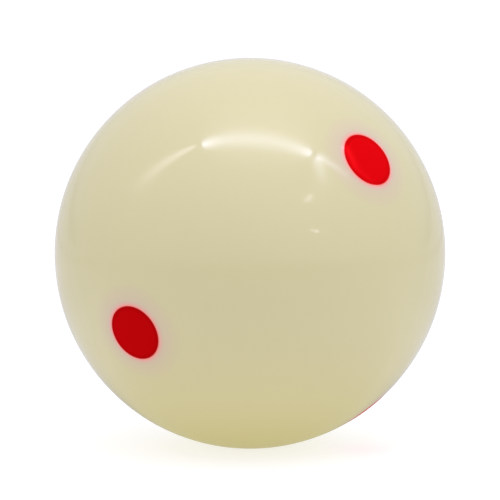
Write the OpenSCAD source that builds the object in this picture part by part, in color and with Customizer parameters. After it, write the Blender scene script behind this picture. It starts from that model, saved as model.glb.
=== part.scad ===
// Cue ball: a cream cast-resin ball with six round red spots.
// Each spot is a plug of red resin set in a drilled socket and ground flush with the ball.
// The six spots sit where three square axes through the centre leave the ball, so the
// direction and speed of spin can be seen whichever way the ball lies.
// The origin is the centre of the ball, +Z is up, and the front is towards -Y.

/* [Ball] */
// Diameter of the ball: 57.15 is the 2 1/4 inch pool size
ball_d = 57.15; // [48:0.05:61.5]

/* [Spots] */
// Diameter of each red spot
spot_d = 8; // [3:0.5:14]
// Depth of the socket's straight wall, from the crown of the ball
socket_depth = 4; // [1:0.5:9]
// Point angle of the drill that leaves the bottom of the socket
drill_point = 118; // [90:1:160]

/* [Lie of the ball] */
// Turn about X, made first
turn_x = 22; // [-180:1:180]
// Turn about Y, made second
turn_y = -31; // [-180:1:180]
// Turn about Z, made last
turn_z = -48; // [-180:1:180]

/* [Finish] */
// Colour of the ball
ball_colour = "#ddd5af"; // [#ddd5af:Cream, #f3f1e6:White, #e9dfc0:Ivory]
// Colour of the spots
spot_colour = "#d40a14"; // [#d40a14:Red, #1c3f9c:Blue, #161616:Black]

/* [Hidden] */
$fn = 128;

ball_r = ball_d / 2;
spot_r = spot_d / 2;
// How far the drill reaches past the surface, so that it cuts the socket's mouth cleanly
overshoot = 1;
// Height of the cone that the drill's point leaves
point_h = spot_r / tan(drill_point / 2);

// Turns that aim +Z along each spot's axis, before the ball is laid down
FRONT_RIGHT = [0, 90, 0];
BACK_LEFT = [0, -90, 0];
FRONT_LEFT = [90, 0, 0];
BACK_RIGHT = [-90, 0, 0];
TOP_LEFT = [0, 0, 0];
BOTTOM_RIGHT = [180, 0, 0];
SPOT_TURNS = [FRONT_RIGHT, FRONT_LEFT, TOP_LEFT, BACK_LEFT, BACK_RIGHT, BOTTOM_RIGHT];

// The whole ball, before it is drilled
module blank() {
    sphere(r = ball_r);
}

// The space that one drilled socket takes, aimed along one spot's axis
module drilling(turn) {
    rotate([turn_x, turn_y, turn_z])
        rotate(turn)
            translate([0, 0, ball_r - socket_depth - point_h]) {
                cylinder(h = point_h, r1 = 0, r2 = spot_r);
                translate([0, 0, point_h])
                    cylinder(h = socket_depth + overshoot, r = spot_r);
            }
}

// One plug: it fills its socket and is crowned to the ball's own radius
module spot(turn) {
    color(spot_colour)
        intersection() {
            blank();
            drilling(turn);
        }
}

module ball_body() {
    color(ball_colour)
        difference() {
            blank();
            for (turn = SPOT_TURNS)
                drilling(turn);
        }
}

module spot_front_right() {
    spot(FRONT_RIGHT);
}

module spot_front_left() {
    spot(FRONT_LEFT);
}

module spot_top_left() {
    spot(TOP_LEFT);
}

module spot_back_left() {
    spot(BACK_LEFT);
}

module spot_back_right() {
    spot(BACK_RIGHT);
}

module spot_bottom_right() {
    spot(BOTTOM_RIGHT);
}

ball_body();
spot_front_right();
spot_front_left();
spot_top_left();
spot_back_left();
spot_back_right();
spot_bottom_right();
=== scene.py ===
"""The looks of a spotted cue ball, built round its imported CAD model.

The ball's body and its six plugs are rebuilt as fine closed meshes with the true radius, so that
the polished surface reflects without facets. Their sizes and places are read from the CAD pieces.
A plain glossy ball shows mostly what it reflects, so the stage is a light tent: a floor that
glows, a world all round, and soft strips of light on the tent's roof.
"""

import math

import bmesh
import bpy
from mathutils import Matrix, Vector


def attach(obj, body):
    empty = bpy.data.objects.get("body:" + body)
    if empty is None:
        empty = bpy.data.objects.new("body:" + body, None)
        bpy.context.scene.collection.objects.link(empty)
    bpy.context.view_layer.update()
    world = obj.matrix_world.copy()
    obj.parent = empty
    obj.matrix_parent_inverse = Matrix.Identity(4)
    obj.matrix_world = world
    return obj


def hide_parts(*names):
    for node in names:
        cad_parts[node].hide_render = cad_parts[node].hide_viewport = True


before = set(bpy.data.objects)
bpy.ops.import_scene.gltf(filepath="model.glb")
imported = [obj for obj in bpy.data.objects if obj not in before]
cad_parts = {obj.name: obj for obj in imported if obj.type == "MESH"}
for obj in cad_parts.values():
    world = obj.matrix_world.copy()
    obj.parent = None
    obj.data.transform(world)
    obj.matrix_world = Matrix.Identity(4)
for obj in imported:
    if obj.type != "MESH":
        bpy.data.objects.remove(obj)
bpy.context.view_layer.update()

MM = 0.001
PLUGS = [
    "spot_front_right",
    "spot_front_left",
    "spot_top_left",
    "spot_back_left",
    "spot_back_right",
    "spot_bottom_right",
]

# Mesh fineness
SEGMENTS = 128  # round each spot's rim, in four equal sides
BODY_RINGS = 26  # from a spot's rim to the line where its patch meets the next
CROWN_RINGS = 10  # from a plug's rim to the middle of its crown
WALL_RINGS = 6  # up a socket's straight wall
POINT_RINGS = 4  # up the cone that the drill's point left
NEARLY = 1e-5  # two points nearer than this share of the ball's radius are one
ON_WALL = 0.999  # a plug's points this share of its radius out are on its straight wall

# Camera
VIEW_RADII = 12  # distance from the ball's centre, in ball radii
VIEW_ELEVATION = math.radians(5)
VIEW_END = 20.0  # the camera sees no further
BALL_SHARE = 0.782  # the ball's width as a share of the frame's
BALL_DROP = 0.0065  # how far the ball's centre lies below the frame's, as a share of the frame
SENSOR = 36.0

# Resin
RESIN_IOR = 1.6
ROUGHNESS = 0.09
RIPPLE_SIZE = 5 * MM
RIPPLE_DETAIL = 2
RIPPLE_HEIGHT = 0.0015 * MM
# How uneven the colour and the roughness are. A row is a blob's size, a detail and a depth
CLOUDS = [(14 * MM, 3, 0.012), (1.2 * MM, 2, 0.008)]
HAZE = [(9 * MM, 3, 0.012), (0.5 * MM, 2, 0.01)]
# The ball's colour by the distance from the nearest spot's rim, in millimetres, out to plain
# cream. Near the rims it holds a painted pink glow, the light that passes through the red plugs
# into the cream
CREAM_AND_GLOW_STOPS = [
    (0.0, (0.84, 0.20, 0.165)),
    (0.15, (0.86, 0.33, 0.265)),
    (0.3, (0.79, 0.41, 0.32)),
    (0.5, (0.675, 0.465, 0.345)),
    (0.9, (0.636, 0.522, 0.350)),
    (3.5, (0.64, 0.585, 0.321)),
]
RED = (0.69, 0.001, 0.003)
RED_DEPTHS = [1.0, 0.69, 0.9, 0.8, 0.95, 0.85]  # one for each plug
RED_STOPS = [(-0.7, 1.0), (-0.25, 0.82), (-0.1, 0.84)]  # shares of it, by the same distance: a painted shade, a slightly darker band just inside the rim
RIM_GLOW_RED = (0.75, 0.05, 0.05)  # a painted glow: the paler, pinker red right at a plug's rim, where light passes over from the cream
GLOSS_RED = (1.0, 0.018, 0.02)  # the tint of the plugs' gloss


# ---------------------------------------------------------------- sizes from the CAD pieces

def cad_points(node):
    return [v.co.copy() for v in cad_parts[node].data.vertices]


def measure_plug(node):
    """A plug's axis, and its radius, shoulder height and tip height along it from the centre."""
    points = cad_points(node)
    tip = min(points, key=lambda p: p.length)
    axis = tip.normalized()
    radii = [(p - axis * p.dot(axis)).length for p in points]
    radius = max(radii)
    shoulder = min(p.dot(axis) for p, r in zip(points, radii) if r > ON_WALL * radius)
    return axis, radius, shoulder, tip.length


ball_r = max(p.length for p in cad_points("ball_body"))
spot_r, shoulder_h, tip_h = measure_plug(PLUGS[0])[1:]
rim_tilt = math.asin(spot_r / ball_r)
rim_h = ball_r * math.cos(rim_tilt)
# The three square axes of the spots: opposite spots share one
right_axis = measure_plug("spot_front_right")[0]
back_axis = measure_plug("spot_back_right")[0]
top_axis = right_axis.cross(back_axis)
square_axes = [right_axis, back_axis, top_axis]


def spot_frame(node):
    """A turn whose third column is the spot's axis and whose others are the other two axes."""
    axis = measure_plug(node)[0]
    i = max(range(3), key=lambda k: abs(axis.dot(square_axes[k])))
    others = [square_axes[(i + 1) % 3], square_axes[(i + 2) % 3]]
    if axis.dot(square_axes[i]) < 0:
        others.reverse()
    third = others[0].cross(others[1])
    return Matrix((others[0], others[1], third)).transposed()


# ---------------------------------------------------------------- meshes

TURNS = [2 * math.pi * k / SEGMENTS for k in range(SEGMENTS)]


def flat_ring(bm, turned, radius, height):
    """A ring of vertices at one height along a spot's axis."""
    return [
        bm.verts.new(turned @ Vector((radius * math.cos(t), radius * math.sin(t), height)))
        for t in TURNS
    ]


def patch_ring(bm, turned, share):
    """A ring on the ball, from the spot's rim at share 0 to its square patch's edge at 1."""
    ring = []
    for t in TURNS:
        off_middle = (t + math.pi / 4) % (math.pi / 2) - math.pi / 4
        edge_tilt = math.atan(1 / math.cos(off_middle))
        tilt = rim_tilt + (edge_tilt - rim_tilt) * share
        flat = ball_r * math.sin(tilt)
        point = Vector((flat * math.cos(t), flat * math.sin(t), ball_r * math.cos(tilt)))
        ring.append(bm.verts.new(turned @ point))
    return ring


def skin(bm, rings, flip=False):
    """Faces between rings, in order. A ring of one vertex is a point."""
    for low, high in zip(rings, rings[1:]):
        for k in range(SEGMENTS):
            n = (k + 1) % SEGMENTS
            if len(low) == 1:
                corners = [low[0], high[k], high[n]]
            elif len(high) == 1:
                corners = [low[k], high[0], low[n]]
            else:
                corners = [low[k], high[k], high[n], low[n]]
            bm.faces.new(corners[::-1] if flip else corners)


def socket_rings(bm, turned):
    """The drilled socket, from the tip of its point to just under the rim."""
    rings = [[bm.verts.new(turned @ Vector((0, 0, tip_h)))]]
    for j in range(1, POINT_RINGS):
        share = j / POINT_RINGS
        rings.append(flat_ring(bm, turned, spot_r * share, tip_h + (shoulder_h - tip_h) * share))
    for j in range(WALL_RINGS):
        share = j / WALL_RINGS
        rings.append(flat_ring(bm, turned, spot_r, shoulder_h + (rim_h - shoulder_h) * share))
    return rings


def new_object(bm, name):
    """A new object in the scene, with the mesh that bm holds. bm is used up."""
    mesh = bpy.data.meshes.new(name)
    bm.to_mesh(mesh)
    bm.free()
    made = bpy.data.objects.new(name, mesh)
    bpy.context.scene.collection.objects.link(made)
    return made


def round_piece(bm, name):
    """The object, with each face on the ball's surface shaded by the true sphere."""
    piece = new_object(bm, name)
    mesh = piece.data
    on_ball = [abs(v.co.length - ball_r) < ball_r * NEARLY for v in mesh.vertices]
    normals = []
    for face in mesh.polygons:
        crowned = all(on_ball[v] for v in face.vertices)
        face.use_smooth = crowned
        for v in face.vertices:
            normals.append(mesh.vertices[v].co.normalized() if crowned else face.normal.copy())
    mesh.normals_split_custom_set(normals)
    return piece


def make_body():
    """The ball with its six sockets: six square patches, each round one spot."""
    bm = bmesh.new()
    for node in PLUGS:
        turned = spot_frame(node)
        rings = socket_rings(bm, turned)
        for j in range(BODY_RINGS + 1):
            rings.append(patch_ring(bm, turned, j / BODY_RINGS))
        skin(bm, rings)
    bmesh.ops.remove_doubles(bm, verts=bm.verts, dist=ball_r * NEARLY)
    return round_piece(bm, "body_resin")


def make_plug(node):
    """A plug that fills its socket, with a crown of the ball's own radius."""
    bm = bmesh.new()
    turned = spot_frame(node)
    rings = socket_rings(bm, turned)
    for j in range(CROWN_RINGS):
        tilt = rim_tilt * (1 - j / CROWN_RINGS)
        rings.append(flat_ring(bm, turned, ball_r * math.sin(tilt), ball_r * math.cos(tilt)))
    rings.append([bm.verts.new(turned @ Vector((0, 0, ball_r)))])
    skin(bm, rings, flip=True)
    return round_piece(bm, node.replace("spot", "plug"))


# ---------------------------------------------------------------- node maths

class Field:
    """A number that nodes work out, so that node maths reads as arithmetic."""

    def __init__(self, tree, socket):
        self.tree = tree
        self.socket = socket

    def maths(self, operation, *others):
        node = self.tree.nodes.new("ShaderNodeMath")
        node.operation = operation
        for slot, value in zip(node.inputs, (self, *others)):
            if isinstance(value, Field):
                self.tree.links.new(value.socket, slot)
            else:
                slot.default_value = value
        return Field(self.tree, node.outputs[0])

    def __add__(self, other):
        return self.maths("ADD", other)

    def __sub__(self, other):
        return self.maths("SUBTRACT", other)

    def __mul__(self, other):
        return self.maths("MULTIPLY", other)

    def __truediv__(self, other):
        return self.maths("DIVIDE", other)

    def __pow__(self, other):
        return self.maths("POWER", other)

    def __abs__(self):
        return self.maths("ABSOLUTE")

    def at_least(self, other):
        return self.maths("MAXIMUM", other)

    def at_most(self, other):
        return self.maths("MINIMUM", other)

    def into(self, socket):
        self.tree.links.new(self.socket, socket)


def dot(tree, vector, direction):
    node = tree.nodes.new("ShaderNodeVectorMath")
    node.operation = "DOT_PRODUCT"
    tree.links.new(vector, node.inputs[0])
    node.inputs[1].default_value = direction
    return Field(tree, node.outputs["Value"])


def length_of(tree, vector):
    node = tree.nodes.new("ShaderNodeVectorMath")
    node.operation = "LENGTH"
    tree.links.new(vector, node.inputs[0])
    return Field(tree, node.outputs["Value"])


def noise(tree, vector, size, detail):
    """Noise from -1 to 1 whose blobs are about size across."""
    node = tree.nodes.new("ShaderNodeTexNoise")
    node.inputs["Scale"].default_value = 1 / size
    node.inputs["Detail"].default_value = detail
    tree.links.new(vector, node.inputs["Vector"])
    return (Field(tree, node.outputs["Fac"]) - 0.5) * 2


def layered_noise(tree, vector, rows):
    """Noises of several sizes added up. A row is a size, a detail and a depth."""
    first, *others = [noise(tree, vector, size, detail) * depth for size, detail, depth in rows]
    return sum(others, first)


def hump(field, place, width):
    """1 where field is at place, falling off smoothly over width."""
    share = (field - place) / width
    return (share * share * -1.0).maths("EXPONENT")


def bell(tree, place, way, width):
    """1 towards a direction, falling off smoothly over width degrees."""
    away = dot(tree, place, tuple(way)).at_most(1.0).at_least(-1.0).maths("ARCCOSINE")
    return hump(away, 0.0, math.radians(width))


def ramp(tree, field, stops):
    """A colour that runs through stops, each a value of field and a colour."""
    node = tree.nodes.new("ShaderNodeValToRGB")
    low, high = stops[0][0], stops[-1][0]
    ((field - low) / (high - low)).into(node.inputs["Fac"])
    elements = node.color_ramp.elements
    while len(elements) < len(stops):
        elements.new(1.0)
    for element, (value, colour) in zip(elements, stops):
        element.position = (value - low) / (high - low)
        element.color = (*colour, 1)
    return node.outputs["Color"]


def tint(tree, colour, field):
    """colour made lighter or darker by field."""
    node = tree.nodes.new("ShaderNodeVectorMath")
    node.operation = "SCALE"
    tree.links.new(colour, node.inputs[0])
    field.into(node.inputs["Scale"])
    return node.outputs["Vector"]


def new_tree(owner, output_type):
    """The owner's empty node tree, with a new output node."""
    owner.use_nodes = True
    tree = owner.node_tree
    tree.nodes.clear()
    return tree, tree.nodes.new(output_type)


# ---------------------------------------------------------------- materials

def rim_distance(tree, place):
    """Distance over the ball's surface from the nearest spot's rim, in millimetres."""
    along = [abs(dot(tree, place, tuple(axis))) for axis in square_axes]
    nearest = along[0].at_least(along[1]).at_least(along[2])
    cosine = (nearest / length_of(tree, place)).at_most(1.0)
    return (cosine.maths("ARCCOSINE") - rim_tilt) * (ball_r / MM)


def resin(name, stops):
    """Polished cast resin, coloured by the distance from a spot's rim, where the colour holds
    painted light that passes between the red and the cream.
    """
    material = bpy.data.materials.new(name)
    tree, output = new_tree(material, "ShaderNodeOutputMaterial")
    place = tree.nodes.new("ShaderNodeTexCoord").outputs["Object"]
    shader = tree.nodes.new("ShaderNodeBsdfPrincipled")
    tree.links.new(shader.outputs["BSDF"], output.inputs["Surface"])
    colour = ramp(tree, rim_distance(tree, place), stops)
    clouds = layered_noise(tree, place, CLOUDS)
    tree.links.new(tint(tree, colour, clouds + 1.0), shader.inputs["Base Color"])
    haze = layered_noise(tree, place, HAZE)
    (haze + ROUGHNESS).into(shader.inputs["Roughness"])
    bump = tree.nodes.new("ShaderNodeBump")
    bump.inputs["Distance"].default_value = RIPPLE_HEIGHT
    noise(tree, place, RIPPLE_SIZE, RIPPLE_DETAIL).into(bump.inputs["Height"])
    tree.links.new(bump.outputs["Normal"], shader.inputs["Normal"])
    shader.inputs["IOR"].default_value = RESIN_IOR
    return material, shader


def cream_resin():
    """Cream resin with a painted glow: the pink that light passing through the red plugs gives the
    resin round their rims is painted into its colour.
    """
    return resin("cream_resin", CREAM_AND_GLOW_STOPS)[0]


def red_resin(name, depth):
    """depth scales how full the plug's red is; each plug is given its own. The gloss is
    tinted red, because a white one turns so pure a red to orange."""
    red = Vector(RED) * depth
    # Painted light across the rim: a slightly darker band just inside it, then a paler, pinker red
    # right at it
    stops = [(distance, tuple(red * share)) for distance, share in RED_STOPS]
    stops.append((0.0, (RIM_GLOW_RED[0] * depth, *RIM_GLOW_RED[1:])))
    material, shader = resin(name, stops)
    shader.inputs["Specular IOR Level"].default_value = 0.0
    tree = material.node_tree
    gloss = tree.nodes.new("ShaderNodeBsdfGlossy")
    gloss.inputs["Color"].default_value = (*GLOSS_RED, 1)
    fresnel = tree.nodes.new("ShaderNodeFresnel")
    fresnel.inputs["IOR"].default_value = RESIN_IOR
    roughness = shader.inputs["Roughness"].links[0].from_socket
    normal = shader.inputs["Normal"].links[0].from_socket
    tree.links.new(roughness, gloss.inputs["Roughness"])
    tree.links.new(normal, gloss.inputs["Normal"])
    tree.links.new(normal, fresnel.inputs["Normal"])
    mix = tree.nodes.new("ShaderNodeMixShader")
    tree.links.new(fresnel.outputs["Fac"], mix.inputs["Fac"])
    tree.links.new(shader.outputs["BSDF"], mix.inputs[1])
    tree.links.new(gloss.outputs["BSDF"], mix.inputs[2])
    output = tree.nodes["Material Output"]
    tree.links.new(mix.outputs["Shader"], output.inputs["Surface"])
    return material


# ---------------------------------------------------------------- the object

body = make_body()
body.data.materials.append(cream_resin())
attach(body, "root")
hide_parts("ball_body")

for plug_node, red_depth in zip(PLUGS, RED_DEPTHS):
    plug = make_plug(plug_node)
    plug.data.materials.append(red_resin(plug_node.replace("spot", "red"), red_depth))
    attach(plug, "root")
    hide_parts(plug_node)


# ---------------------------------------------------------------- floor

FLOOR_REACH = 3.0
FLOOR_SIDES = 96
FLOOR_PAINT = 0.42  # how much light the camera sees the floor send back
FLOOR_GLOW = 0.70  # and how much of its own it adds
# Light off the floor by distance from where the ball rests, painted into the floor's glow: a dim,
# warm painted shade and bounce from the cream ball right under it, a painted pool of light a
# little way out, fading further off
FLOOR_LIGHT = [
    (0.0, (0.66, 0.61, 0.38)),
    (0.010, (0.83, 0.78, 0.50)),
    (0.020, (0.95, 0.91, 0.72)),
    (0.035, (1.12, 1.10, 1.15)),
    (0.06, (1.04, 1.04, 1.14)),
    (0.12, (0.93, 0.93, 1.02)),
    (0.3, (0.82, 0.81, 0.87)),
]
SHADOW_REACH = 0.25  # a painted shadow of the ball on the floor's glow behind it
SHADOW_DEPTH = 0.4
# What only the gloss shows, painted shade in the floor's glow: it is darker in a ring round the
# ball, near the opening and along the line where its sheet ends
RING_RADIUS = 0.023
RING_WIDTH = 0.025
RING_DEPTH = 0.33
FRONT_REACH = 0.08
FRONT_DEPTH = 0.55
EDGE_SIDE = 0.41  # how far away the painted dark line lies where the floor's sheet would end, to the sides and to the front
EDGE_FRONT = 0.25
EDGE_WIDTH = 0.25  # as a share of that
EDGE_DEPTH = 0.18


def floor_light(tree, place, glossy):
    """The floor as the ball sees it: a glowing sheet whose glow holds painted light, a painted
    shadow of the ball and painted shade. glossy is 1 where the ball's gloss shows it.
    """
    away = length_of(tree, place)
    ahead = dot(tree, place, (0, -1, 0)) / away.at_least(ball_r)
    shadow = (ahead * -1.0).at_least(0.0) * (away / -SHADOW_REACH + 1.0).at_least(0.0)
    front = ahead.at_least(0.0) * (away / FRONT_REACH).at_most(1.0)
    ring = hump(away, RING_RADIUS, RING_WIDTH)
    side_share = abs(dot(tree, place, (1 / EDGE_SIDE, 0, 0)))
    front_share = dot(tree, place, (0, -1 / EDGE_FRONT, 0))
    edge = hump(side_share.at_least(front_share), 1.0, EDGE_WIDTH)
    # Painted shade and a painted shadow, taken off the floor's glow
    gloss_only_shade = ring * RING_DEPTH + front * FRONT_DEPTH + edge * EDGE_DEPTH
    painted_shade = gloss_only_shade * glossy + shadow * SHADOW_DEPTH
    glow = tree.nodes.new("ShaderNodeEmission")
    tree.links.new(ramp(tree, away, FLOOR_LIGHT), glow.inputs["Color"])
    (painted_shade * -1.0 + 1.0).into(glow.inputs["Strength"])
    return glow.outputs["Emission"]


def floor_paint(tree):
    """The floor as the camera sees it: plain pale paint, which takes the ball's soft shadow."""
    paint = tree.nodes.new("ShaderNodeBsdfDiffuse")
    paint.inputs["Color"].default_value = (FLOOR_PAINT, FLOOR_PAINT, FLOOR_PAINT, 1)
    lamp = tree.nodes.new("ShaderNodeEmission")
    lamp.inputs["Color"].default_value = (FLOOR_GLOW, FLOOR_GLOW, FLOOR_GLOW, 1)
    seen = tree.nodes.new("ShaderNodeAddShader")
    tree.links.new(paint.outputs["BSDF"], seen.inputs[0])
    tree.links.new(lamp.outputs["Emission"], seen.inputs[1])
    return seen.outputs["Shader"]


def make_floor():
    bm = bmesh.new()
    bmesh.ops.create_circle(bm, cap_ends=True, segments=FLOOR_SIDES, radius=FLOOR_REACH)
    floor = new_object(bm, "floor")
    floor.location.z = -ball_r
    material = bpy.data.materials.new("pale_floor")
    tree, output = new_tree(material, "ShaderNodeOutputMaterial")
    place = tree.nodes.new("ShaderNodeTexCoord").outputs["Object"]
    light_path = tree.nodes.new("ShaderNodeLightPath")
    glossy = Field(tree, light_path.outputs["Is Glossy Ray"])
    mix = tree.nodes.new("ShaderNodeMixShader")
    tree.links.new(light_path.outputs["Is Camera Ray"], mix.inputs["Fac"])
    tree.links.new(floor_light(tree, place, glossy), mix.inputs[1])
    tree.links.new(floor_paint(tree), mix.inputs[2])
    tree.links.new(mix.outputs["Shader"], output.inputs["Surface"])
    floor.data.materials.append(material)


# ---------------------------------------------------------------- tent

ROOF = 0.5  # height of the tent's roof above the ball's centre
BACKDROP = 1.05  # the tent behind the ball, as the camera sees it
TENT_LIGHT = (1.0, 1.0, 1.07)
TENT_LEVEL = 0.77  # how bright the tent is level with the ball
TENT_RISE = 0.04  # and how much brighter straight up
STRIP_WAY = Vector((0.05, -0.16, ROOF)).normalized()  # from the ball towards the main strip
STRIP_HAZE = 0.36  # the tent is brighter round that strip
STRIP_HAZE_WIDTH = 55  # over this many degrees
DOOR_WAY = Vector((-0.1, -1, -0.1)).normalized()  # towards the tent's dark opening
DOOR_DEPTH = 0.27
DOOR_WIDTH = 37
# Lines square to these run up the tent's two sides to its back
SEAM_WAYS = [Vector((0.27, 0.39, -0.88)), Vector((-0.27, 0.39, -0.88))]
SEAM_WIDTH = 0.045
SEAM_DEPTH = 0.4
SEAM_TOP = 0.4  # the height at which they have faded out, as a share of straight up


def make_world():
    """The tent's even light, brighter round the main strip and darker at its opening and seams."""
    world = bpy.data.worlds.new("light_tent")
    bpy.context.scene.world = world
    tree, output = new_tree(world, "ShaderNodeOutputWorld")
    place = tree.nodes.new("ShaderNodeTexCoord").outputs["Generated"]
    height = dot(tree, place, (0, 0, 1)).at_least(0.0)
    strength = height * TENT_RISE + TENT_LEVEL
    strength = strength + bell(tree, place, STRIP_WAY, STRIP_HAZE_WIDTH) * STRIP_HAZE
    strength = strength - bell(tree, place, DOOR_WAY, DOOR_WIDTH) * DOOR_DEPTH
    behind = dot(tree, place, (0, 1, 0)).at_least(0.0)
    low = (height / -SEAM_TOP + 1.0).at_least(0.0)
    for way in SEAM_WAYS:
        seam = hump(dot(tree, place, tuple(way)), 0.0, SEAM_WIDTH)
        strength = strength - seam * behind * low * SEAM_DEPTH
    light_path = tree.nodes.new("ShaderNodeLightPath")
    seen = Field(tree, light_path.outputs["Is Camera Ray"])
    strength = strength + (strength * -1.0 + BACKDROP) * seen
    background = tree.nodes.new("ShaderNodeBackground")
    background.inputs["Color"].default_value = (*TENT_LIGHT, 1)
    strength.into(background.inputs["Strength"])
    tree.links.new(background.outputs["Background"], output.inputs["Surface"])


# ---------------------------------------------------------------- strips of light

COOL = (1.0, 1.02, 1.45)
PALE = (1.0, 0.98, 1.1)
WARM = (1.0, 0.90, 1.10)
STRIP_GAP = 0.002  # each strip hangs this much above the last
STRIP_SOFTNESS = 3.0  # how fast a strip fades towards its long edges
END_POWER = 6  # the higher, the closer to its ends a strip keeps its extra brightness

# Name, colour, start, end, widths and strengths at both, and for some a waist and ends.
# Start and end are X and Y on the roof, in metres from above the ball's centre
STRIPS = [
    ("main", COOL, (-0.213, -0.150), (0.299, -0.177), (0.21, 0.21), (2.4, 2.4), 0.74, 2.6),
    ("main_glow", PALE, (-0.21, -0.155), (0.31, -0.170), (0.70, 0.70), (0.75, 0.75), 0.65, -1.0),
    ("left", WARM, (-0.25, -0.141), (-1.15, -0.145), (0.03, 0.54), (3.5, 0.0), 0.0, 0.5),
    ("right", COOL, (0.334, -0.168), (0.64, -0.178), (0.11, 0.10), (4.0, 1.0)),
    ("front", COOL, (0.340, -0.185), (0.56, -0.44), (0.11, 0.26), (3.6, 0.3)),
    ("side", COOL, (0.45, 0.035), (0.62, -0.045), (0.11, 0.11), (4.5, 3.0)),
    ("side_tail", COOL, (0.62, -0.045), (0.98, 0.030), (0.06, 0.07), (2.5, 1.6)),
    ("high_glint", WARM, (0.484, -0.54), (0.500, -0.67), (0.14, 0.14), (2.2, 3.2)),
    ("low_glint", WARM, (1.02, -1.40), (1.26, -1.44), (0.10, 0.10), (9.5, 9.5)),
]


def roof_sheet(height, name, start, end, reach):
    """A sheet that faces down, from start to end and reach to either side, 2 by 2 in its frame."""
    middle = (start + end) / 2
    along = end - start
    bm = bmesh.new()
    bmesh.ops.create_grid(bm, x_segments=1, y_segments=1, size=1.0)
    sheet = new_object(bm, name)
    sheet.location = (middle.x, middle.y, height)
    sheet.rotation_euler = (math.pi, 0, math.atan2(along.y, along.x))
    sheet.scale = (along.length / 2, reach, 1)
    return sheet


def light_strip(height, name, colour, start, end, widths, strengths, waist=0.0, ends=0.0):
    """A glowing strip on the roof, soft across. Widths and strengths are at its start and end.
    waist is how much narrower both ends are than the middle, as a share, and ends is how much
    brighter they are, or how much dimmer where it is below 0."""
    reach = max(widths) / 2
    strip = roof_sheet(height, name, Vector(start), Vector(end), reach)
    material = bpy.data.materials.new(name)
    tree, output = new_tree(material, "ShaderNodeOutputMaterial")
    place = tree.nodes.new("ShaderNodeTexCoord").outputs["Object"]
    x = dot(tree, place, (1, 0, 0))
    y = dot(tree, place, (0, 1, 0))
    bulge = (x * x * -1.0 + 1.0).at_least(0.0) ** 0.5 * waist + (1 - waist)
    half_width = x * ((widths[1] - widths[0]) / 4) + (widths[0] + widths[1]) / 4
    across = y * reach / (half_width * bulge)
    soft = (across * across * -STRIP_SOFTNESS).maths("EXPONENT")
    inside = (across * across * -1.0 + 1.0).at_least(0.0)
    fall = (x * -0.5 + 0.5) ** 2.0
    level = fall * (strengths[0] - strengths[1]) + strengths[1]
    glow = tree.nodes.new("ShaderNodeEmission")
    glow.inputs["Color"].default_value = (*colour, 1)
    (soft * inside * level * (abs(x) ** END_POWER * ends + 1.0)).into(glow.inputs["Strength"])
    clear = tree.nodes.new("ShaderNodeBsdfTransparent")
    both = tree.nodes.new("ShaderNodeAddShader")
    tree.links.new(glow.outputs["Emission"], both.inputs[0])
    tree.links.new(clear.outputs["BSDF"], both.inputs[1])
    tree.links.new(both.outputs["Shader"], output.inputs["Surface"])
    strip.data.materials.append(material)


make_floor()
make_world()
for count, strip_row in enumerate(STRIPS):
    light_strip(ROOF + STRIP_GAP * count, *strip_row)


# ---------------------------------------------------------------- camera

def make_camera():
    """The ball fills BALL_SHARE of the frame, whatever the sensor's size."""
    data = bpy.data.cameras.new("camera")
    camera = bpy.data.objects.new("camera", data)
    bpy.context.scene.collection.objects.link(camera)
    away = Vector((0, -math.cos(VIEW_ELEVATION), math.sin(VIEW_ELEVATION)))
    camera.location = away * VIEW_RADII * ball_r
    camera.rotation_euler = (math.pi / 2 - VIEW_ELEVATION, 0, 0)
    half_width = 1 / (BALL_SHARE * math.sqrt(VIEW_RADII ** 2 - 1))
    data.sensor_width = SENSOR
    data.lens = SENSOR / 2 / half_width
    data.shift_y = BALL_DROP
    data.clip_start = ball_r
    data.clip_end = VIEW_END
    bpy.context.scene.camera = camera


make_camera()
bpy.context.scene.view_settings.view_transform = "Standard"
